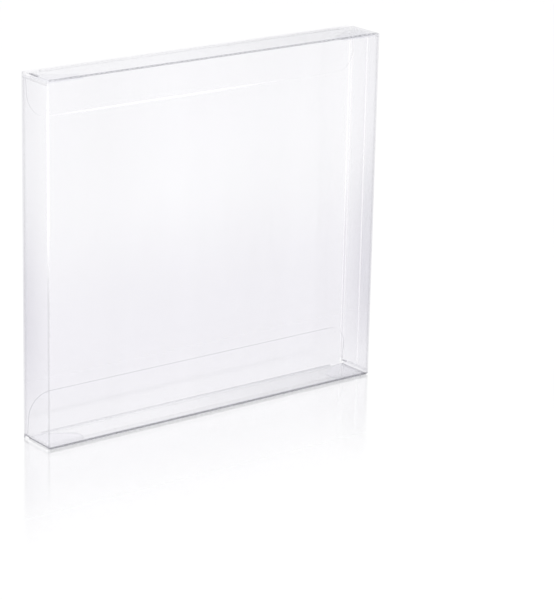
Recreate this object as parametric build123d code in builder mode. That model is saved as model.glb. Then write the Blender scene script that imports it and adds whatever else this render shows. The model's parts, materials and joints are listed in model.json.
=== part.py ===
"""Clear folding protector for a boxed game case.

One die-cut sheet of clear PET film, folded into a straight tuck-end box. The
four walls, the glued tab and the four dust flaps are the sleeve. The top and
bottom lids swing on creases along the front wall, and each carries a tuck flap
that slides down between the dust flaps and the back wall.

Millimetres, +Z up, front wall towards -Y. The origin is on the floor, under
the middle of the box.
"""

from build123d import *
import math
import os

# Pocket for the case, and the film's thickness
pocket_width = 138.0
pocket_depth = 15.2
pocket_height = 124.2
film = 0.4

# Inside radii of the folds, and the running gap of a crease
wall_fold = 0.5
flap_fold = 0.3
crease_gap = 0.05

# Glued tab, folded in from the back wall and stuck inside the right wall
tab_width = 9.8
tab_end_gap = 0.4
tab_corner = 1.5

# Dust flaps, on the side walls
dust_flap_length = 15.5
dust_flap_front_gap = 0.5
dust_flap_shoulder = 5.5
dust_flap_tip = 5.6
dust_flap_corner = 2.0
fold_relief = 0.25

# Lids, with a slit beside each end of the tuck flap's crease
lid_gap = 0.5
lid_side_gap = 1.0
slit_length = 5.5
slit_width = 0.6

# Tuck flaps, which lean in from the back wall
tuck_length = 15.4
tuck_corner = 8.0
tuck_lean = 6.5
tuck_gap = 0.7
tuck_clearance = 0.4

# Outside of the folded box
box_width = pocket_width + 2 * film
box_depth = pocket_depth + 2 * film
box_height = pocket_height + 2 * (2 * film + lid_gap)
right = box_width / 2
back = box_depth / 2
mid_height = box_height / 2
outer_fold = wall_fold + film

# The top creases: each turns on the film's inner corner, under a rolled edge
crease_z = box_height - film
hinge_y = film - back
tuck_crease_y = back - film - tuck_gap - film
socket = film + crease_gap
lid_half = right - lid_side_gap
tuck_crease_half = lid_half - slit_length

# The top dust flaps: their outer face, and where their folds leave the side walls
dust_top = box_height - film - lid_gap
side_wall_top = dust_top - film - flap_fold
lean = math.radians(tuck_lean)
dust_front = hinge_y + dust_flap_front_gap
dust_back = tuck_crease_y - tuck_length * math.sin(lean) - tuck_clearance

os.makedirs("parts", exist_ok=True)

# Left dust flap at the top: its fold, then a blade that tapers behind a shoulder
with BuildPart() as dust_flap:
    fold_x = film + flap_fold - right
    with BuildSketch(Plane.XZ.offset(-dust_back)):
        with BuildLine():
            outer = CenterArc((fold_x, side_wall_top), film + flap_fold, 90, 90)
            inner = CenterArc((fold_x, side_wall_top), flap_fold, 90, 90)
            Line(outer @ 0, inner @ 0)
            Line(outer @ 1, inner @ 1)
        make_face()
    extrude(amount=dust_back - dust_front)

    blade_end = dust_flap_length - right
    shoulder_end = dust_flap_shoulder - right
    with BuildSketch(Plane.XY.offset(dust_top - film)) as blade:
        with BuildLine():
            Polyline(
                (fold_x, dust_front),
                (blade_end, dust_front),
                (blade_end, dust_front + dust_flap_tip),
                (shoulder_end, dust_back),
                (fold_x, dust_back),
                close=True,
            )
        make_face()
        fillet(blade.vertices().group_by(Axis.X)[-1], radius=dust_flap_corner)
    extrude(amount=film)

# Upper half of the glued tab, from inside the back wall to its free edge
with BuildPart() as tab:
    bend_x = right - film - outer_fold
    with BuildSketch(Plane.XY.offset(mid_height)):
        with BuildLine():
            FilletPolyline(
                (bend_x - film, back - film / 2),
                (right - film - film / 2, back - film / 2),
                (right - film - film / 2, back - tab_width),
                radius=wall_fold + film / 2,
            )
        trace(line_width=film)
    extrude(amount=side_wall_top - tab_end_gap - mid_height)
    free_edges = tab.edges().filter_by(Axis.X).group_by(Axis.Y)[0]
    fillet(free_edges.sort_by(Axis.Z)[-1], radius=tab_corner)

# Sleeve: its upper half, mirrored down to make the lower one
with BuildPart() as sleeve:
    # Walls, bent from one strip
    with BuildSketch(Plane.XY.offset(mid_height)):
        with BuildLine():
            FilletPolyline(
                (bend_x, back - film / 2),
                (film / 2 - right, back - film / 2),
                (film / 2 - right, film / 2 - back),
                (right - film / 2, film / 2 - back),
                (right - film / 2, back - outer_fold),
                radius=wall_fold + film / 2,
            )
        trace(line_width=film)
    extrude(amount=mid_height)

    # Side walls cut down to their dust flaps, and the front wall to its crease
    with BuildSketch(Plane.YZ):
        with Locations((0, (dust_top + box_height) / 2)):
            Rectangle(box_depth - 2 * outer_fold, box_height - dust_top)
        with Locations(((dust_front + dust_back) / 2, (side_wall_top + dust_top) / 2)):
            Rectangle(dust_back - dust_front + 2 * fold_relief, dust_top - side_wall_top)
        with Locations((outer_fold / 2 - back, (crease_z + box_height) / 2)):
            Rectangle(outer_fold, film)
    extrude(amount=right, both=True, mode=Mode.SUBTRACT)

    # Rolled edge that the lid turns on, a half round above the front wall
    with BuildSketch(Plane.YZ):
        with Locations((hinge_y, crease_z)):
            Circle(film)
        with Locations((hinge_y, crease_z - film / 2)):
            Rectangle(2 * film, film, mode=Mode.SUBTRACT)
    extrude(amount=lid_half, both=True)

    add(tab.part)
    add(dust_flap.part)
    mirror(dust_flap.part, about=Plane.YZ)
    mirror(about=Plane.XY.offset(mid_height))
sleeve.part.label = "sleeve"
export_step(sleeve.part, "parts/sleeve.step")

# Top lid: a plate between its two creases
with BuildPart() as top_lid:
    with BuildSketch(Plane.YZ):
        with Locations(((hinge_y + tuck_crease_y) / 2, crease_z + film / 2)):
            Rectangle(tuck_crease_y - hinge_y, film)
        with Locations((hinge_y, crease_z)):
            Circle(socket, mode=Mode.SUBTRACT)
    extrude(amount=lid_half, both=True)

    # A slit at each end parts the lid's rear corners from the tuck flap
    slit_x = lid_half - slit_length / 2
    slit_y = tuck_crease_y - slit_width / 2
    with BuildSketch(Plane.XY.offset(crease_z)):
        with Locations((-slit_x, slit_y), (slit_x, slit_y)):
            Rectangle(slit_length, slit_width)
    extrude(amount=film, mode=Mode.SUBTRACT)

    # Rolled edge that the tuck flap turns on, a half round behind the lid
    with BuildSketch(Plane.YZ):
        with Locations((tuck_crease_y, crease_z)):
            Circle(film)
        with Locations((tuck_crease_y - film / 2, crease_z)):
            Rectangle(film, 2 * film, mode=Mode.SUBTRACT)
    extrude(amount=tuck_crease_half, both=True)
top_lid.part.label = "top_lid"
export_step(top_lid.part, "parts/top_lid.step")

# Top tuck flap, drawn on the plane of its inner face, which leans in
flap_plane = Plane(
    origin=(0, tuck_crease_y, crease_z),
    x_dir=(1, 0, 0),
    z_dir=(0, math.cos(lean), -math.sin(lean)),
)
with BuildPart() as top_tuck_flap:
    with BuildSketch(flap_plane) as flap_outline:
        with Locations((0, tuck_length / 2)):
            Rectangle(2 * lid_half, tuck_length)
        fillet(flap_outline.vertices().group_by(Axis.Y)[-1], radius=tuck_corner)
    extrude(amount=film)
    with BuildSketch(Plane.YZ):
        with Locations((tuck_crease_y, crease_z)):
            Circle(socket)
    extrude(amount=lid_half, both=True, mode=Mode.SUBTRACT)
top_tuck_flap.part.label = "top_tuck_flap"
export_step(top_tuck_flap.part, "parts/top_tuck_flap.step")

# The bottom closure mirrors the top one
with BuildPart() as bottom_lid:
    mirror(top_lid.part, about=Plane.XY.offset(mid_height))
bottom_lid.part.label = "bottom_lid"
export_step(bottom_lid.part, "parts/bottom_lid.step")

with BuildPart() as bottom_tuck_flap:
    mirror(top_tuck_flap.part, about=Plane.XY.offset(mid_height))
bottom_tuck_flap.part.label = "bottom_tuck_flap"
export_step(bottom_tuck_flap.part, "parts/bottom_tuck_flap.step")
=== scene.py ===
"""Clear game box protector: film materials, crease marks, stage and camera."""

import json
import math

import bpy
from mathutils import Matrix, Vector


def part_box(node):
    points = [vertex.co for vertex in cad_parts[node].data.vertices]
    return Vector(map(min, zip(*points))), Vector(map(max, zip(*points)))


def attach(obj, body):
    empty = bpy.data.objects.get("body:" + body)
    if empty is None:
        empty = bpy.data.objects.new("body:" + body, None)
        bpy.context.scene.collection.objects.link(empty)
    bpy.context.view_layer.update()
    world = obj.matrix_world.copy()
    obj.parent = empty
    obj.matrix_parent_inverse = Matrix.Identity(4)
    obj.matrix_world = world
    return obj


bl_info = {
    "name": "Game Box Protector",
    "version": (1, 0, 0),
    "blender": (4, 5, 0),
    "location": "View3D > Sidebar > Protector",
    "description": "Clear film, crease marks, stage and camera for a folding game box protector",
    "category": "Object",
}

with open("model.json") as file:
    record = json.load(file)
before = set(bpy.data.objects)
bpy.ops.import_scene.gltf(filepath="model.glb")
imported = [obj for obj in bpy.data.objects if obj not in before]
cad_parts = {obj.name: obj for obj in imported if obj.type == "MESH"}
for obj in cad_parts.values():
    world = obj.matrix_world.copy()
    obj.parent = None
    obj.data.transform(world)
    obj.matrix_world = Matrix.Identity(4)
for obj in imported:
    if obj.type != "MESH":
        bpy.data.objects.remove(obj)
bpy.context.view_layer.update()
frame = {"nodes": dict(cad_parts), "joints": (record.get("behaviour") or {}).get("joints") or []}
NODES = frame["nodes"]

# Sizes of the folded film, in metres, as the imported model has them
FILM = 0.0004
LOW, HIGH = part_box("sleeve")
HALF = (HIGH.z - LOW.z) / 2
LID_LOW, LID_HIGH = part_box("top_lid")
FLAP_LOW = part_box("top_tuck_flap")[0]
JOINT_AT = {j["name"]: Vector(j["pos_m"]) for j in frame["joints"]}
HINGE = JOINT_AT["top_lid_hinge"]
TUCK = JOINT_AT["top_tuck_crease"]

# The dust flaps lie this far below the box's top, and turn over at this outer radius
DUST_DROP = 0.0009
DUST_FOLD = 0.0007

# How far the upright folds show: the folded line itself, and the roll of film beside it, which
# carry painted highlights and painted shade
FOLD_LINE = 0.00055
ROLL_START = 0.0022
ROLL_FULL = 0.0008

# Score marks: their height, and how far their rows stay from the lids' ends and slits
MARK_HEIGHT = 0.00002
MARK_END_GAP = 0.001
SLIT_GAP = 0.0062

# Colours that the whole scene shares
WHITE = (1.0, 1.0, 1.0)
SCUFF = (0.8, 0.8, 0.83)
# White of the whitened film at the glinting folds and edges, partly painted highlight
GLINT_WHITE = (0.95, 0.95, 0.95)
EDGE_ON = (0.0, 0.0, 0.35)
BURR_DARK = (0.55, 0.55, 0.58)
BURR_LIGHT = (0.75, 0.75, 0.78)


# Settings

class ProtectorFilm(bpy.types.PropertyGroup):
    """How the clear film looks."""

    tint: bpy.props.FloatVectorProperty(
        name="Tint",
        description="What one surface of the film lets through at the top of the box",
        subtype="COLOR",
        size=3,
        min=0.0,
        max=1.0,
        default=(0.990, 0.989, 0.995),
    )
    # Painted shade: the walls' tint at the foot, darker than at the top
    low_shade_tint: bpy.props.FloatVectorProperty(
        name="Lower Tint",
        description="What one surface of the film lets through at the foot of the box",
        subtype="COLOR",
        size=3,
        min=0.0,
        max=1.0,
        default=(0.970, 0.967, 0.979),
    )
    # Also used for painted contact shadow at the walls' feet and painted shadow beside the top
    # lid's slit and at the bottom lid's ends
    edge_and_shadow_tint: bpy.props.FloatVectorProperty(
        name="Cut Edge Tint",
        description="What a cut edge of the film lets through",
        subtype="COLOR",
        size=3,
        min=0.0,
        max=1.0,
        default=(0.5, 0.5, 0.53),
    )
    # Also used for painted shade: above the front foot, on the lower dust flap folds, on two
    # upright folds and over the lids' faces
    crease_and_shade_tint: bpy.props.FloatVectorProperty(
        name="Crease Tint",
        description="What the film lets through where it is scored and folded",
        subtype="COLOR",
        size=3,
        min=0.0,
        max=1.0,
        default=(0.8, 0.8, 0.815),
    )
    haze: bpy.props.FloatProperty(
        name="Haze",
        description="Share of the film's surface that is scuffed",
        subtype="FACTOR",
        min=0.0,
        max=1.0,
        default=0.006,
    )
    gloss: bpy.props.FloatProperty(
        name="Gloss Roughness",
        description="Roughness of the film's reflections",
        subtype="FACTOR",
        min=0.0,
        max=1.0,
        default=0.06,
    )
    ior: bpy.props.FloatProperty(
        name="Refractive Index",
        description="Refractive index of the film",
        min=1.0,
        max=2.0,
        default=1.57,
    )
    # Painted reflection: these streaks and patches in the tint stand in for reflected bands and
    # sheen
    streaks: bpy.props.FloatProperty(
        name="Streaks",
        description="How much the tint varies along the film's rolling direction",
        subtype="FACTOR",
        min=0.0,
        max=0.2,
        default=0.006,
    )
    slant_loss: bpy.props.FloatProperty(
        name="Slant Loss",
        description="Share of light lost where the film is seen nearly edge on",
        subtype="FACTOR",
        min=0.0,
        max=1.0,
        default=0.2,
    )
    # Painted highlight: the white folds and free edges are made to glow
    painted_edge_glow: bpy.props.FloatProperty(
        name="Edge Glow",
        description="Light that the film gives off at its white folds and free edges",
        subtype="FACTOR",
        min=0.0,
        max=1.0,
        default=0.4,
    )
    # Painted shade: the side walls' extra darkening, strongest low in the middle
    side_shade_tint: bpy.props.FloatVectorProperty(
        name="Side Tint",
        description="What a bowed side wall's surface lets through besides",
        subtype="COLOR",
        size=3,
        min=0.0,
        max=1.0,
        default=(0.908, 0.906, 0.918),
    )


class ProtectorCreases(bpy.types.PropertyGroup):
    """The cut marks of the scoring blade along the flap creases."""

    pitch: bpy.props.FloatProperty(
        name="Pitch",
        description="Distance from one mark to the next",
        unit="LENGTH",
        min=0.0005,
        max=0.01,
        default=0.002,
    )
    length: bpy.props.FloatProperty(
        name="Mark Length",
        description="Length of one mark along the crease",
        unit="LENGTH",
        min=0.0002,
        max=0.008,
        default=0.0011,
    )
    width: bpy.props.FloatProperty(
        name="Mark Width",
        description="Width of one mark across the crease",
        unit="LENGTH",
        min=0.00005,
        max=0.001,
        default=0.00016,
    )


class ProtectorStage(bpy.types.PropertyGroup):
    """Floor, light and camera."""

    floor_colour: bpy.props.FloatVectorProperty(
        name="Floor Colour",
        description="Colour of the floor",
        subtype="COLOR",
        size=3,
        min=0.0,
        max=1.0,
        default=(0.86, 0.86, 0.86),
    )
    floor_mirror: bpy.props.FloatProperty(
        name="Floor Mirror",
        description="Share of light that the floor reflects as a mirror right beside the box",
        subtype="FACTOR",
        min=0.0,
        max=1.0,
        default=0.55,
    )
    mirror_reach: bpy.props.FloatProperty(
        name="Mirror Reach",
        description="Distance from the box at which the floor's reflection has faded out",
        unit="LENGTH",
        min=0.01,
        max=1.0,
        default=0.09,
    )
    floor_glow: bpy.props.FloatProperty(
        name="Floor Glow",
        description="How far the floor is lifted to white, which thins the shadows on it",
        subtype="FACTOR",
        min=0.0,
        max=1.0,
        default=0.86,
    )
    sky: bpy.props.FloatProperty(
        name="Sky Strength",
        description="Strength of the even light from all round",
        min=0.0,
        max=3.0,
        default=0.62,
    )
    key: bpy.props.FloatProperty(
        name="Key Lamp",
        description="Power of the large lamp above",
        unit="POWER",
        min=0.0,
        max=500.0,
        default=18.0,
    )
    lens: bpy.props.FloatProperty(
        name="Lens",
        description="Focal length of the camera",
        unit="CAMERA",
        min=10.0,
        max=500.0,
        default=162.44,
    )
    azimuth: bpy.props.FloatProperty(
        name="Azimuth",
        description="Direction of the camera round the box",
        unit="ROTATION",
        default=math.radians(-38.002),
    )
    pitch: bpy.props.FloatProperty(
        name="Pitch",
        description="How far the camera looks down",
        unit="ROTATION",
        default=math.radians(17.72),
    )
    roll: bpy.props.FloatProperty(
        name="Roll",
        description="Turn of the camera about its view",
        unit="ROTATION",
        default=math.radians(1.306),
    )
    place: bpy.props.FloatVectorProperty(
        name="Place",
        description="Place of the camera",
        subtype="TRANSLATION",
        unit="LENGTH",
        size=3,
        default=(-0.5321, -0.7224, 0.3257),
    )


# Node trees of the materials

class Shader:
    """Adds nodes to a material or a world, each linked to what it is made from."""

    def __init__(self, block):
        block.use_nodes = True
        self.tree = block.node_tree
        self.tree.nodes.clear()
        self.column = 0

    def add(self, kind, **values):
        node = self.tree.nodes.new(kind)
        node.location = (self.column * 200, 0)
        self.column += 1
        for name, value in values.items():
            setattr(node, name, value)
        return node

    def put(self, socket, value):
        if isinstance(value, bpy.types.NodeSocket):
            self.tree.links.new(value, socket)
        elif value is not None:
            socket.default_value = value

    def math(self, operation, a, b=None, c=None):
        node = self.add("ShaderNodeMath", operation=operation)
        for socket, value in zip(node.inputs, (a, b, c)):
            self.put(socket, value)
        return node.outputs[0]

    def ramp(self, value, low, high, at_low=0.0, at_high=1.0):
        """Runs smoothly from at_low to at_high as the value goes from low to high."""
        node = self.add("ShaderNodeMapRange", interpolation_type="SMOOTHSTEP")
        for socket, given in zip(node.inputs, (value, low, high, at_low, at_high)):
            self.put(socket, given)
        return node.outputs[0]

    def largest(self, *values):
        total = values[0]
        for value in values[1:]:
            total = self.math("MAXIMUM", total, value)
        return total

    def all_of(self, *values):
        total = values[0]
        for value in values[1:]:
            total = self.math("MULTIPLY", total, value)
        return total

    def above(self, value, limit):
        return self.math("GREATER_THAN", value, limit)

    def below(self, value, limit):
        return self.math("LESS_THAN", value, limit)

    def between(self, value, low, high):
        return self.all_of(self.above(value, low), self.below(value, high))

    def rest(self, share):
        """What a share leaves of one."""
        return self.math("SUBTRACT", 1.0, share)

    def size(self, value):
        return self.math("ABSOLUTE", value)

    def split(self, vector):
        node = self.add("ShaderNodeSeparateXYZ")
        self.put(node.inputs[0], vector)
        return node.outputs[0], node.outputs[1], node.outputs[2]

    def blend_colour(self, factor, a, b, kind="MIX"):
        node = self.add("ShaderNodeMix", data_type="RGBA", blend_type=kind)
        self.put(node.inputs[0], factor)
        for socket, value in ((node.inputs[6], a), (node.inputs[7], b)):
            self.put(socket, (*value, 1.0) if isinstance(value, tuple) else value)
        return node.outputs[2]

    def through_both(self, a, b):
        """The colour of light that has passed through both colours."""
        return self.blend_colour(1.0, a, b, "MULTIPLY")

    def blend(self, factor, a, b):
        node = self.add("ShaderNodeMixShader")
        self.put(node.inputs[0], factor)
        self.put(node.inputs[1], a)
        self.put(node.inputs[2], b)
        return node.outputs[0]

    def noise(self, point, scale, stretch=(1.0, 1.0, 1.0), detail=2.0):
        place = self.add("ShaderNodeMapping", vector_type="POINT")
        self.put(place.inputs["Vector"], point)
        place.inputs["Scale"].default_value = stretch
        node = self.add("ShaderNodeTexNoise", noise_dimensions="3D")
        self.put(node.inputs["Vector"], place.outputs[0])
        node.inputs["Scale"].default_value = scale
        node.inputs["Detail"].default_value = detail
        return node.outputs["Fac"]

    def seen_directly(self):
        """One for what the camera sees, itself or in gloss or glass, and nought for light."""
        ray = self.add("ShaderNodeLightPath")
        kinds = ("Is Camera Ray", "Is Glossy Ray", "Is Transmission Ray")
        return self.largest(*(ray.outputs[kind] for kind in kinds))

    def finish(self, surface, kind="ShaderNodeOutputMaterial"):
        out = self.add(kind)
        self.put(out.inputs["Surface"], surface)


def sleeve_edges(s, point, normal):
    """(cut edges with painted contact shadow, creases with painted shade, painted highlight folds
    and edges, whitened folds with painted highlight) of the walls, tab and dust flaps.
    """
    x, y, z = s.split(point)
    _, ny, nz = s.split(normal)
    out_x, out_y = s.size(x), s.size(y)
    from_middle = s.size(s.math("SUBTRACT", z, HALF))
    beside = s.above(out_x, HIGH.x - FOLD_LINE)
    front = s.below(y, LOW.y + 1.1 * FILM)

    # Cut edges: the back wall's top and bottom and the dust flaps' free edges; and painted
    # contact shadow at the front wall's foot and at the side walls' feet behind the dust flaps
    back_edge = s.all_of(
        s.above(s.size(nz), 0.7),
        s.above(y, HIGH.y - 0.0009),
        s.above(from_middle, HALF - FILM / 2),
        0.06,
    )
    dust_edge = s.all_of(
        s.below(out_x, HIGH.x - 0.0012),
        s.below(out_y, HIGH.y - 0.001),
        s.below(s.size(nz), 0.5),
        s.above(from_middle, HALF - 0.002),
        0.12,
    )
    # Painted contact shadow: a dark line along the front wall's foot and the side walls' feet
    sole_shadow = s.all_of(front, s.below(z, 0.0009))
    heel_shadow = s.all_of(beside, s.below(z, 0.0014), s.above(y, 0.0044), 0.6)
    cut = s.largest(back_edge, dust_edge, s.all_of(sole_shadow, 0.4), heel_shadow)

    # Creases and painted shade: the lids' hinges, painted shade above the front foot, the dust
    # flaps' folds with painted shade at the foot, the side walls' top fold, and painted shade on
    # two upright folds
    hinge = s.all_of(
        s.below(y, LOW.y + 2.1 * FILM),
        s.above(from_middle, HALF - 1.4 * FILM),
        s.ramp(x, LOW.x, LOW.x + 0.012, 0.35, 1.0),
    )
    shade = s.all_of(front, s.below(z, 0.0024), 0.16)
    # The dust flaps' folds, darker at the foot as painted shade
    dust_fold = s.all_of(
        s.above(out_x, HIGH.x - 0.0008),
        s.above(from_middle, HALF - 0.0018),
        s.below(y, HIGH.y - 0.0036),
        s.ramp(z, LOW.z, HIGH.z, 0.3, 0.08),
    )
    fold_line = s.all_of(
        s.above(out_x, HIGH.x - FILM / 2),
        s.between(z, HIGH.z - 0.0019, HIGH.z - 0.0014),
        0.6,
    )

    # The four upright folds: painted highlights on two above the middle, and painted shade on the
    # other two and the film rolled beside them
    corner = s.all_of(beside, s.above(out_y, HIGH.y - FOLD_LINE))
    highlit_pair = s.above(s.math("MULTIPLY", x, y), 0.0)
    bright = s.all_of(highlit_pair, s.ramp(z, 0.050, 0.080))
    rolled = s.all_of(
        s.ramp(out_x, HIGH.x - ROLL_START, HIGH.x - ROLL_FULL),
        s.ramp(out_y, HIGH.y - ROLL_START, HIGH.y - ROLL_FULL),
        s.rest(highlit_pair),
        0.26,
    )
    grey = s.largest(s.all_of(corner, s.math("SUBTRACT", highlit_pair, bright), 0.75), rolled)
    crease = s.largest(hinge, sole_shadow, shade, dust_fold, fold_line, grey)

    # Painted highlights: white in the bright folds and along the tab's fold and free edge, partly
    # whitened film, made to glow
    tab_edge = s.all_of(
        s.below(ny, -0.7),
        s.above(x, HIGH.x - 2.2 * FILM),
        s.above(y, LOW.y + 0.002),
    )
    tab_fold = s.all_of(s.above(x, HIGH.x - 0.0015), s.above(y, HIGH.y - 0.0011), bright)
    lit = s.all_of(corner, bright)
    clear = s.largest(lit, tab_edge, tab_fold)
    # The whitened film and its painted highlight thin out near the top of the fold
    whitened_share_by_height = s.ramp(z, 0.115, 0.1235, 0.3, 0.08)
    whitened_glint = s.largest(s.all_of(lit, s.below(y, 0.0), whitened_share_by_height), s.all_of(tab_edge, 0.3))
    return cut, crease, clear, whitened_glint


def lid_edges(s, point, normal):
    """(cut edges with painted shadow, creases with painted shade) of a lid, which has no painted
    glint or whitened edge.
    """
    nx, _, nz = s.split(normal)
    x, y, z = s.split(point)
    out_x = s.size(x)
    bottom = s.below(z, HALF)

    # Its ends, darker on the bottom lid as painted shade at the foot, and a painted shadow in the
    # gap beside the top lid's slit
    slit_shadow = s.all_of(s.below(x, 0.0), s.between(y, -0.0005, 0.0042), s.rest(bottom))
    end = s.all_of(
        s.above(out_x, LID_HIGH.x - 0.0001),
        s.above(s.size(nx), 0.7),
        s.largest(slit_shadow, s.ramp(bottom, 0.0, 1.0, 0.1, 1.0)),
    )
    rim = s.largest(
        s.all_of(s.above(out_x, LID_HIGH.x - 0.0005), bottom, 0.7),
        s.all_of(s.above(out_x, LID_HIGH.x - 0.0010), slit_shadow, 0.8),
    )
    cut = s.largest(end, rim, s.all_of(s.below(s.size(nz), 0.3), 0.1))

    # Its two rolled edges, and painted shade over its whole face, greyer to the right
    crease = s.largest(
        s.below(y, HINGE.y + 0.0006),
        s.all_of(s.above(y, TUCK.y - 0.0001), 0.06),
        s.ramp(x, -0.03, HIGH.x, 0.05, 0.36),
    )
    return cut, crease, None, None


def flap_edges(s, point, normal):
    """(cut edges, creases, painted glint on the free edge, whitened free edge with painted glint)
    of a tuck flap.
    """
    _, ny, _ = s.split(normal)
    x, _, z = s.split(point)
    from_middle = s.size(s.math("SUBTRACT", z, HALF))
    by_crease = s.above(from_middle, HINGE.z - HALF - 0.0006)
    dark = s.largest(
        s.ramp(z, LOW.z, HIGH.z, 0.48, 0.18),
        s.all_of(s.below(x, -0.0585), 0.34),
    )
    cut = s.all_of(s.below(s.size(ny), 0.6), dark, s.ramp(by_crease, 0.0, 1.0, 1.0, 0.4))

    # The top flap's free edge is a painted glint, white and glowing, and its whitening fades to
    # the right and at its left end
    free_edge = s.between(z, FLAP_LOW.z - 0.0001, FLAP_LOW.z + 0.0004)
    whitened_glint = s.all_of(
        free_edge,
        s.ramp(x, -0.002, 0.04, 0.42, 0.02),
        s.ramp(x, -0.06, -0.035, 0.15, 1.0),
    )
    return cut, s.all_of(by_crease, 0.03), free_edge, whitened_glint


def plain_tint(s, look, strength, point, normal):
    """What the film's faces let through: painted shade low down and on the side walls, and painted
    reflection streaks and patches.
    """
    def thinned(colour):
        return tuple(1 - strength * (1 - c) for c in colour)

    x, y, z = s.split(point)
    nx, _, nz = s.split(normal)
    # Painted shade: darker below the middle, a little less at the very foot
    painted_low_shade = s.all_of(
        s.ramp(z, 0.036, 0.084, 1.0, 0.0),
        s.ramp(s.size(nz), 0.6, 0.8, 1.0, 0.0),
        s.ramp(z, 0.003, 0.02, 0.5, 1.0),
    )
    face = s.blend_colour(painted_low_shade, thinned(look.tint), thinned(look.low_shade_tint))

    # Painted shade on the side walls: most on the halves by the grey folds and on the right wall,
    # least at the foot and the top
    corner = HIGH.x * HIGH.y
    painted_side_shade = s.all_of(
        s.ramp(s.size(nx), 0.5, 0.8),
        s.ramp(s.math("MULTIPLY", x, y), -corner, corner, 1.0, 0.25),
        s.ramp(x, -HIGH.x, HIGH.x, 1.0, 1.25),
        s.ramp(z, 0.002, 0.04, 0.2, 1.0),
        s.ramp(z, 0.05, 0.1, 1.0, 0.35),
    )
    sides = s.blend_colour(painted_side_shade, WHITE, thinned(look.side_shade_tint))

    # Painted reflection: streaks and patches in the tint stand in for reflected bands and sheen
    least = 1 - strength * look.streaks
    reflection_streak = s.ramp(s.noise(point, 55.0, stretch=(1.0, 1.0, 0.06)), 0.3, 0.75, 1.0, least)
    sheen_patches = s.ramp(s.noise(point, 16.0, detail=1.0), 0.35, 0.7, 1.0, least)
    return s.through_both(s.through_both(face, sides), s.all_of(reflection_streak, sheen_patches))


def film_material(name, look, edges, strength=1.0):
    """Clear PET: tinted light through it with painted shade, a mirror sheen by angle, a little
    haze, and painted glints that glow.

    The strength scales the tint, sheen and haze of the film's faces, not its edges.
    """
    material = bpy.data.materials.new(name)
    s = Shader(material)
    where = s.add("ShaderNodeTexCoord")
    point, normal = where.outputs["Object"], where.outputs["Normal"]
    cut, crease, clear, whitened_glint = edges(s, point, normal)
    facing = s.add("ShaderNodeLayerWeight")
    facing.inputs["Blend"].default_value = 0.5
    slant = facing.outputs["Facing"]

    # Light let through: the plain tint and its painted shade, its creases and edges with their
    # painted shade and shadow, white at the painted glints, and the loss at a slant
    tint = plain_tint(s, look, strength, point, normal)
    for share, colour in ((crease, look.crease_and_shade_tint), (cut, look.edge_and_shadow_tint), (clear, WHITE)):
        if share is not None:
            tint = s.blend_colour(share, tint, tuple(colour))
    lost = s.math("MULTIPLY", s.math("POWER", slant, 8.0), look.slant_loss)
    through = s.add("ShaderNodeBsdfTransparent")
    s.put(through.inputs["Color"], s.through_both(tint, s.blend_colour(lost, WHITE, EDGE_ON)))

    # Mirror sheen, by Schlick's rule
    sheen = s.add("ShaderNodeBsdfAnisotropic")
    sheen.inputs["Color"].default_value = (*WHITE, 1.0)
    sheen.inputs["Roughness"].default_value = look.gloss
    head_on = strength * ((look.ior - 1) / (look.ior + 1)) ** 2
    mirrored = s.math("MULTIPLY_ADD", s.math("POWER", slant, 5.0), 1 - head_on, head_on)
    glossy = s.blend(mirrored, through.outputs[0], sheen.outputs[0])

    # Scuffs, cut edges and folds scatter some light; the crease and cut shares include painted
    # shade and shadow
    scratches = s.noise(point, 420.0, stretch=(1.0, 1.0, 0.2), detail=4.0)
    scuffs = look.haze * strength
    haze = s.largest(
        s.ramp(scratches, 0.45, 0.8, scuffs * 0.5, scuffs * 1.6),
        s.math("MULTIPLY", cut, 0.2),
        s.math("MULTIPLY", crease, 0.1),
    )
    # This surface carries the scuffs, and also the painted glint's white and glow
    scuffed = s.add("ShaderNodeBsdfPrincipled")
    scuffed.inputs["Base Color"].default_value = (*SCUFF, 1.0)
    scuffed.inputs["Roughness"].default_value = 0.35
    # Painted glint: the glinting folds and edges are whitened and made to glow
    if whitened_glint is not None:
        haze = s.largest(haze, whitened_glint)
        s.put(scuffed.inputs["Base Color"], s.blend_colour(clear, SCUFF, GLINT_WHITE))
        scuffed.inputs["Emission Color"].default_value = (*WHITE, 1.0)
        s.put(scuffed.inputs["Emission Strength"], s.math("MULTIPLY", clear, look.painted_edge_glow))
    s.finish(s.blend(haze, glossy, scuffed.outputs[0]))
    material.surface_render_method = "BLENDED"
    return material


def mark_material(name):
    """The burr that the scoring blade leaves: dull and whitish grey."""
    material = bpy.data.materials.new(name)
    s = Shader(material)
    where = s.add("ShaderNodeTexCoord")
    grain = s.noise(where.outputs["Object"], 2500.0, detail=3.0)
    burr = s.add("ShaderNodeBsdfPrincipled")
    s.put(burr.inputs["Base Color"], s.blend_colour(grain, BURR_DARK, BURR_LIGHT))
    burr.inputs["Roughness"].default_value = 0.5
    bump = s.add("ShaderNodeBump")
    bump.inputs["Distance"].default_value = MARK_HEIGHT
    s.put(bump.inputs["Height"], grain)
    s.put(burr.inputs["Normal"], bump.outputs[0])
    s.finish(burr.outputs[0])
    return material


# Crease marks

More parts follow.
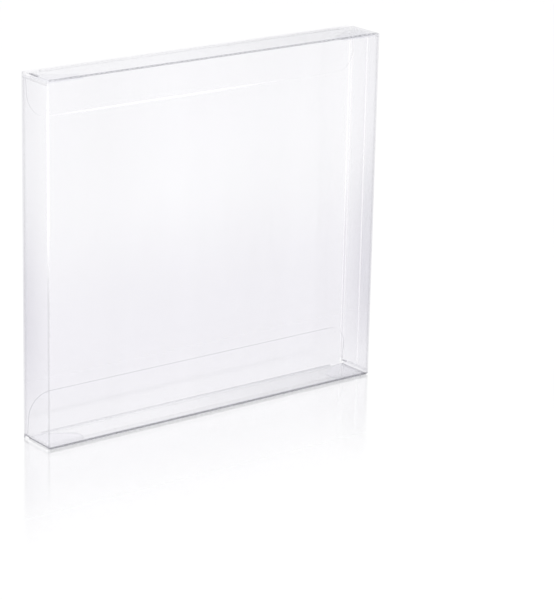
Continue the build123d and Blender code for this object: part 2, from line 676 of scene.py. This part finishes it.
def crease_tree():
    """Geometry Nodes: repeats one flat mark from a start point to an end point."""
    tree = bpy.data.node_groups.new("crease_marks", "GeometryNodeTree")
    face = tree.interface
    face.new_socket(name="Geometry", in_out="OUTPUT", socket_type="NodeSocketGeometry")
    for name in ("Start", "End"):
        face.new_socket(name=name, in_out="INPUT", socket_type="NodeSocketVector")
    for name in ("Pitch", "Mark Length", "Mark Width", "Mark Height"):
        face.new_socket(name=name, in_out="INPUT", socket_type="NodeSocketFloat")
    face.new_socket(name="Normal", in_out="INPUT", socket_type="NodeSocketVector")
    face.new_socket(name="Material", in_out="INPUT", socket_type="NodeSocketMaterial")

    new = tree.nodes.new
    link = tree.links.new
    given = new("NodeGroupInput")
    line = new("GeometryNodeCurvePrimitiveLine")
    spaced = new("GeometryNodeResampleCurve")
    spaced.mode = "LENGTH"
    mark = new("GeometryNodeMeshCube")
    size = new("ShaderNodeCombineXYZ")
    tangent = new("GeometryNodeInputTangent")
    along = new("FunctionNodeAlignRotationToVector")
    along.axis = "X"
    outward = new("FunctionNodeAlignRotationToVector")
    outward.axis = "Z"
    outward.pivot_axis = "X"
    placed = new("GeometryNodeInstanceOnPoints")
    real = new("GeometryNodeRealizeInstances")
    painted = new("GeometryNodeSetMaterial")
    out = new("NodeGroupOutput")
    for i, node in enumerate(tree.nodes):
        node.location = (i * 200, 0)

    link(given.outputs["Start"], line.inputs["Start"])
    link(given.outputs["End"], line.inputs["End"])
    link(line.outputs[0], spaced.inputs["Curve"])
    link(given.outputs["Pitch"], spaced.inputs["Length"])
    link(given.outputs["Mark Length"], size.inputs[0])
    link(given.outputs["Mark Width"], size.inputs[1])
    link(given.outputs["Mark Height"], size.inputs[2])
    link(size.outputs[0], mark.inputs["Size"])
    link(tangent.outputs[0], along.inputs["Vector"])
    link(along.outputs[0], outward.inputs["Rotation"])
    link(given.outputs["Normal"], outward.inputs["Vector"])
    link(spaced.outputs[0], placed.inputs["Points"])
    link(mark.outputs["Mesh"], placed.inputs["Instance"])
    link(outward.outputs[0], placed.inputs["Rotation"])
    link(placed.outputs[0], real.inputs[0])
    link(real.outputs[0], painted.inputs["Geometry"])
    link(given.outputs["Material"], painted.inputs["Material"])
    link(painted.outputs[0], out.inputs[0])
    return tree


def marks_between(tree, sizes, material, start, end, normal):
    """A mesh of crease marks from start to end, seen from the side of the normal."""
    maker = bpy.data.objects.new("marks", bpy.data.meshes.new("marks"))
    bpy.context.scene.collection.objects.link(maker)
    modifier = maker.modifiers.new("marks", "NODES")
    modifier.node_group = tree
    values = {
        "Start": start,
        "End": end,
        "Pitch": sizes.pitch,
        "Mark Length": sizes.length,
        "Mark Width": sizes.width,
        "Mark Height": MARK_HEIGHT,
        "Normal": normal,
        "Material": material,
    }
    for item in tree.interface.items_tree:
        if item.in_out == "INPUT":
            modifier[item.identifier] = values[item.name]
    graph = bpy.context.evaluated_depsgraph_get()
    mesh = bpy.data.meshes.new_from_object(maker.evaluated_get(graph))
    bpy.data.objects.remove(maker)
    return mesh


def joined(name, meshes, body, material):
    """One piece from several meshes, riding on a body of the model."""
    vertices, faces = [], []
    for mesh in meshes:
        base = len(vertices)
        vertices.extend(v.co.copy() for v in mesh.vertices)
        faces.extend([base + i for i in p.vertices] for p in mesh.polygons)
        bpy.data.meshes.remove(mesh)
    whole = bpy.data.meshes.new(name)
    whole.from_pydata(vertices, [], faces)
    whole.materials.append(material)
    piece = bpy.data.objects.new(name, whole)
    bpy.context.scene.collection.objects.link(piece)
    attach(piece, body)


# Stage

def light_from_all_round(scene, stage):
    """An even sky, which the camera sees as plain white."""
    world = bpy.data.worlds.new("studio")
    scene.world = world
    s = Shader(world)
    sky = s.add("ShaderNodeBackground")
    sky.inputs["Color"].default_value = (*WHITE, 1.0)
    sky.inputs["Strength"].default_value = stage.sky
    white = s.add("ShaderNodeBackground")
    white.inputs["Color"].default_value = (*WHITE, 1.0)
    s.finish(s.blend(s.seen_directly(), sky.outputs[0], white.outputs[0]), "ShaderNodeOutputWorld")

    # An even sky needs no map of where its light comes from
    world.cycles.sampling_method = "NONE"


def lay_floor(scene, stage):
    """A pale glossy floor, whose reflection of the box fades with the distance from it."""
    mesh = bpy.data.meshes.new("floor")
    reach, level = 4.0, -0.0001
    corners = ((-reach, -reach), (reach, -reach), (reach, reach), (-reach, reach))
    mesh.from_pydata([(x, y, level) for x, y in corners], [], [(0, 1, 2, 3)])
    floor = bpy.data.objects.new("floor", mesh)
    scene.collection.objects.link(floor)

    paint = bpy.data.materials.new("floor_white")
    s = Shader(paint)
    matt = s.add("ShaderNodeBsdfDiffuse")
    matt.inputs["Color"].default_value = (*stage.floor_colour, 1.0)

    # Just over white, to make up for the share that stays matt
    glow = s.add("ShaderNodeEmission")
    glow.inputs["Color"].default_value = (*WHITE, 1.0)
    glow.inputs["Strength"].default_value = 1.06
    lifted = s.math("MULTIPLY", s.seen_directly(), stage.floor_glow)
    lit = s.blend(lifted, matt.outputs[0], glow.outputs[0])

    # The mirror share fades with the distance from the box, and is low right under it
    mirror = s.add("ShaderNodeBsdfAnisotropic")
    mirror.inputs["Color"].default_value = (*WHITE, 1.0)
    mirror.inputs["Roughness"].default_value = 0.12
    x, y, _ = s.split(s.add("ShaderNodeTexCoord").outputs["Object"])
    away = s.largest(
        s.math("SUBTRACT", s.size(x), HIGH.x),
        s.math("SUBTRACT", s.size(y), HIGH.y),
    )
    share = s.all_of(
        s.ramp(away, 0.0, stage.mirror_reach, stage.floor_mirror, 0.0),
        s.ramp(away, -0.003, 0.0, 0.2, 1.0),
    )
    s.finish(s.blend(share, lit, mirror.outputs[0]))
    mesh.materials.append(paint)


def hang_lamp(scene, stage):
    """A large soft lamp, up to the left in front."""
    lamp = bpy.data.lights.new("key", "AREA")
    lamp.shape = "DISK"
    lamp.size = 1.2
    lamp.energy = stage.key
    key = bpy.data.objects.new("key", lamp)
    key.location = (-0.9, -1.0, 1.1)
    key.rotation_mode = "QUATERNION"
    aim = Vector((0, 0, 0.06))
    key.rotation_quaternion = (key.location - aim).to_track_quat("Z", "Y")
    key.visible_glossy = False
    scene.collection.objects.link(key)


def place_camera(scene, stage):
    """The camera, turned by its azimuth, pitch and roll."""
    camera = bpy.data.cameras.new("camera")
    camera.lens = stage.lens
    camera.sensor_width = 36.0
    camera.clip_start = 0.01
    camera.clip_end = 20.0
    eye = bpy.data.objects.new("camera", camera)
    a, p, r = stage.azimuth, stage.pitch, stage.roll
    ahead = Vector((-math.sin(a) * math.cos(p), math.cos(a) * math.cos(p), -math.sin(p)))
    level = Vector((math.cos(a), math.sin(a), 0))
    above = level.cross(ahead)
    right = level * math.cos(r) + above * math.sin(r)
    up = above * math.cos(r) - level * math.sin(r)
    turn = Matrix((right, up, -ahead)).transposed().to_4x4()
    eye.matrix_world = Matrix.Translation(Vector(stage.place)) @ turn
    scene.collection.objects.link(eye)
    scene.camera = eye


# Operators

class PROTECTOR_OT_film(bpy.types.Operator):
    """Give the sleeve, lids and tuck flaps their clear film"""

    bl_idname = "protector.film"
    bl_label = "Dress the Film"

    def execute(self, context):
        look = context.scene.protector_film
        walls = film_material("sleeve_film", look, sleeve_edges)

        # The lids and tuck flaps lie over other film, and look clearer than the walls
        lids = film_material("lid_film", look, lid_edges, strength=0.2)
        flaps = film_material("tuck_flap_film", look, flap_edges, strength=0.03)
        for name, material in (
            ("sleeve", walls),
            ("top_lid", lids),
            ("bottom_lid", lids),
            ("top_tuck_flap", flaps),
            ("bottom_tuck_flap", flaps),
        ):
            slots = NODES[name].material_slots
            if not slots:
                raise RuntimeError("the node " + name + " has no material slot")
            for slot in slots:
                slot.material = material
        return {"FINISHED"}


class PROTECTOR_OT_creases(bpy.types.Operator):
    """Cut the rows of score marks along the flap creases"""

    bl_idname = "protector.creases"
    bl_label = "Mark the Creases"

    def execute(self, context):
        sizes = context.scene.protector_creases
        tree = crease_tree()
        burr = mark_material("score_burr")
        slope = math.sqrt(0.5)
        roll = FILM * slope
        bend = DUST_FOLD * (1 - slope)
        rows = {"sleeve": [], "top_lid": [], "bottom_lid": []}

        def add_row(body, start, end, normal):
            rows[body].append(marks_between(tree, sizes, burr, start, end, normal))

        for up, level, lid in ((1, HIGH.z, "top_lid"), (-1, 0.0, "bottom_lid")):
            z = level - up * (FILM - roll)

            # The lid's hinge, along the front wall's edge
            y = HINGE.y - roll
            start, end = (LID_LOW.x + MARK_END_GAP, y, z), (LID_HIGH.x - MARK_END_GAP, y, z)
            add_row("sleeve", start, end, (0, -slope, up * slope))

            # The tuck flap's crease, along the lid's rear edge between its slits
            y = TUCK.y + roll
            inside = LID_HIGH.x - SLIT_GAP
            add_row(lid, (-inside, y, z), (inside, y, z), (0, slope, up * slope))

            # The dust flaps' folds, on the side walls
            z = level - up * (DUST_DROP + bend)
            for hand in (1, -1):
                x = hand * (HIGH.x - bend)
                start, end = (x, LOW.y + 0.0014, z), (x, TUCK.y - 0.0024, z)
                add_row("sleeve", start, end, (hand * slope, 0, up * slope))
        for body, meshes in rows.items():
            joined(body + "_score_marks", meshes, body, burr)
        return {"FINISHED"}


class PROTECTOR_OT_stage(bpy.types.Operator):
    """Set the floor, the light and the camera"""

    bl_idname = "protector.stage"
    bl_label = "Set the Stage"

    def execute(self, context):
        scene = context.scene
        stage = scene.protector_stage
        light_from_all_round(scene, stage)
        lay_floor(scene, stage)
        hang_lamp(scene, stage)
        place_camera(scene, stage)
        scene.view_settings.view_transform = "Standard"
        scene.cycles.max_bounces = 16
        scene.cycles.transparent_max_bounces = 48
        return {"FINISHED"}


class PROTECTOR_PT_panel(bpy.types.Panel):
    """The protector's settings and steps."""

    bl_idname = "PROTECTOR_PT_panel"
    bl_label = "Game Box Protector"
    bl_space_type = "VIEW_3D"
    bl_region_type = "UI"
    bl_category = "Protector"

    def draw(self, context):
        scene = context.scene
        for group, operator in (
            (scene.protector_film, "protector.film"),
            (scene.protector_creases, "protector.creases"),
            (scene.protector_stage, "protector.stage"),
        ):
            box = self.layout.box()
            for name in group.__annotations__:
                box.prop(group, name)
            box.operator(operator)


CLASSES = (
    ProtectorFilm,
    ProtectorCreases,
    ProtectorStage,
    PROTECTOR_OT_film,
    PROTECTOR_OT_creases,
    PROTECTOR_OT_stage,
    PROTECTOR_PT_panel,
)


def register():
    for cls in CLASSES:
        bpy.utils.register_class(cls)
    bpy.types.Scene.protector_film = bpy.props.PointerProperty(type=ProtectorFilm)
    bpy.types.Scene.protector_creases = bpy.props.PointerProperty(type=ProtectorCreases)
    bpy.types.Scene.protector_stage = bpy.props.PointerProperty(type=ProtectorStage)


def unregister():
    del bpy.types.Scene.protector_film
    del bpy.types.Scene.protector_creases
    del bpy.types.Scene.protector_stage
    for cls in reversed(CLASSES):
        bpy.utils.unregister_class(cls)


def main():
    register()
    bpy.ops.protector.film()
    bpy.ops.protector.creases()
    bpy.ops.protector.stage()


if __name__ == "__main__":
    main()
